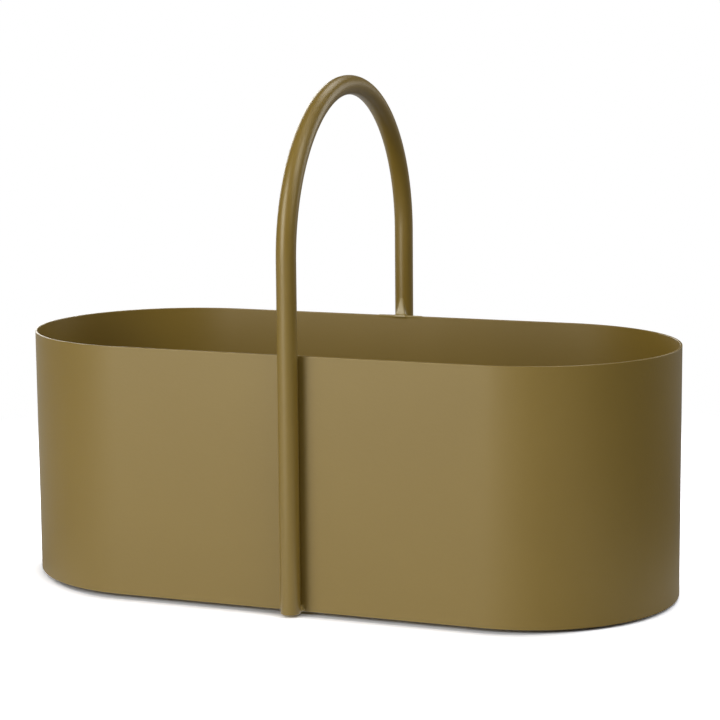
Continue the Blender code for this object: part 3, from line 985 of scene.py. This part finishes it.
def sweep_finish():
    """White paper, with one look for the camera, one for mirrored rays and one for bounced light."""
    finish, tree, paper = new_finish("white sweep")
    paper.inputs["Roughness"].default_value = PAPER_ROUGHNESS
    paper.inputs["Specular IOR Level"].default_value = 0.0
    spot = tree.nodes.new("ShaderNodeTexCoord").outputs["Object"]
    across = vector_math(tree, "DOT_PRODUCT", spot, PAPER_EDGE_DIRECTION)
    tree.links.new(fade(tree, across, PAPER_EDGE, (PAPER_TONE, BARE_TONE)), paper.inputs["Base Color"])

    white = add_node(tree, "ShaderNodeEmission", {"Color": WHITE, "Strength": 1.0}).outputs["Emission"]
    path = tree.nodes.new("ShaderNodeLightPath")
    far = fade(tree, vector_math(tree, "LENGTH", spot), SHADOW_REACH)
    seen = mix_shaders(tree, far, paper_with_painted_shadow(tree, spot), white)
    white_share = node_math(tree, "MAXIMUM", towards_backdrop(tree, spot), lit_paper(tree, spot))
    mirrored_white = node_math(tree, "MULTIPLY", mirrored_ray(tree, path), white_share)
    bounced = mix_shaders(tree, mirrored_white, paper.outputs["BSDF"], white)
    either = mix_shaders(tree, path.outputs["Is Camera Ray"], bounced, seen)
    tree.links.new(either, tree.nodes["Material Output"].inputs["Surface"])
    return finish


def studio_floor():
    """One large flat face at the height that the pads stand on."""
    mesh = bpy.data.meshes.new("studio_floor")
    work = bmesh.new()
    bmesh.ops.create_grid(work, x_segments=1, y_segments=1, size=FLOOR_SIZE / 2)
    work.to_mesh(mesh)
    work.free()
    return place("studio_floor", mesh, sweep_finish())


studio_floor()
print(f"studio floor {FLOOR_SIZE:.0f} m square")

# %% [markdown]
# ## The world
# The world does three jobs. The camera sees it as pure white. Mirrored rays see a dim share of a white
# backdrop, low down behind the object where a real one would stand, and an almost dark room elsewhere.
# Bounced light gets the dark room alone. The backdrop's edge is the same one that the floor uses, so that
# the two meet without a step.

# %% Wrap the world round it
ROOM_FILL = 0.05
BACKDROP_TOP = (0.10, 0.34)


def studio_world():
    """White for the camera, a low backdrop for mirrored rays, and a dim room for all others."""
    world = bpy.data.worlds.new("studio")
    bpy.context.scene.world = world
    world.use_nodes = True
    tree = world.node_tree
    tree.nodes.clear()
    path = tree.nodes.new("ShaderNodeLightPath")
    outward = tree.nodes.new("ShaderNodeTexCoord").outputs["Generated"]
    rise = add_node(tree, "ShaderNodeSeparateXYZ", {"Vector": outward}).outputs["Z"]
    low = fade(tree, rise, BACKDROP_TOP, (1.0, 0.0))
    behind = node_math(tree, "MULTIPLY", towards_backdrop(tree, outward), low)
    mirrored_white = node_math(tree, "MULTIPLY", mirrored_ray(tree, path), behind)
    is_white = node_math(tree, "MAXIMUM", path.outputs["Is Camera Ray"], mirrored_white)
    room, white = (
        add_node(tree, "ShaderNodeBackground", {"Color": WHITE, "Strength": strength}).outputs["Background"]
        for strength in (ROOM_FILL, 1.0))
    leave = tree.nodes.new("ShaderNodeOutputWorld")
    tree.links.new(mix_shaders(tree, is_white, room, white), leave.inputs["Surface"])


studio_world()
print(f"room fill {ROOM_FILL}")

# %% [markdown]
# ## The lamps
# Eight soft boxes of one size hang round the object, at one distance. The two in front on the left are the
# main lights: the low one makes the sheen on the long side, and the higher one the highlight on the hoop.
# Two on the right keep that end from going dark without putting a sheen on it. Three at the back lift the
# far edges and the rear, and a weak one overhead lights the rim and the top of the hoop.

# %% Hang the lamps
LAMP_AIM = Vector((0.0, 0.0, 0.1))
BOX_DISTANCE = 2.2
BOX_SIDE = 1.0
SOFT_BOXES = {
    "low front soft box": (-21, 8, 16.4),
    "upper front soft box": (-33, 30, 18.3),
    "high right soft box": (60, 54, 12.0),
    "right soft box": (75, 30, 5.2),
    "right rear soft box": (139, 16, 8.0),
    "rear soft box": (175, 54, 9.0),
    "rear left soft box": (-136, 16, 14.0),
    "top soft box": (0, 85, 4.0),
}


def soft_box(name, heading, rise, power):
    """A soft box that faces the object. Heading 0 is in front and 90 is to the right, rise is upwards."""
    lamp = bpy.data.lights.new(name, "AREA")
    lamp.shape = "SQUARE"
    lamp.size = BOX_SIDE
    lamp.energy = power
    holder = bpy.data.objects.new(name, lamp)
    bpy.context.scene.collection.objects.link(holder)
    around, upward = math.radians(heading), math.radians(rise)
    towards = Vector((
        math.sin(around) * math.cos(upward), -math.cos(around) * math.cos(upward), math.sin(upward)))
    holder.location = LAMP_AIM + towards * BOX_DISTANCE
    holder.rotation_euler = (-towards).to_track_quat("-Z", "Y").to_euler()


for box_name, hung in SOFT_BOXES.items():
    soft_box(box_name, *hung)
print(len(SOFT_BOXES), "soft boxes,", sum(power for heading, rise, power in SOFT_BOXES.values()), "W in all")

# %% [markdown]
# ## Last settings
# The Standard view keeps the olive as it is written, with no film curve on top.

# %% Finish
bpy.context.scene.view_settings.view_transform = "Standard"
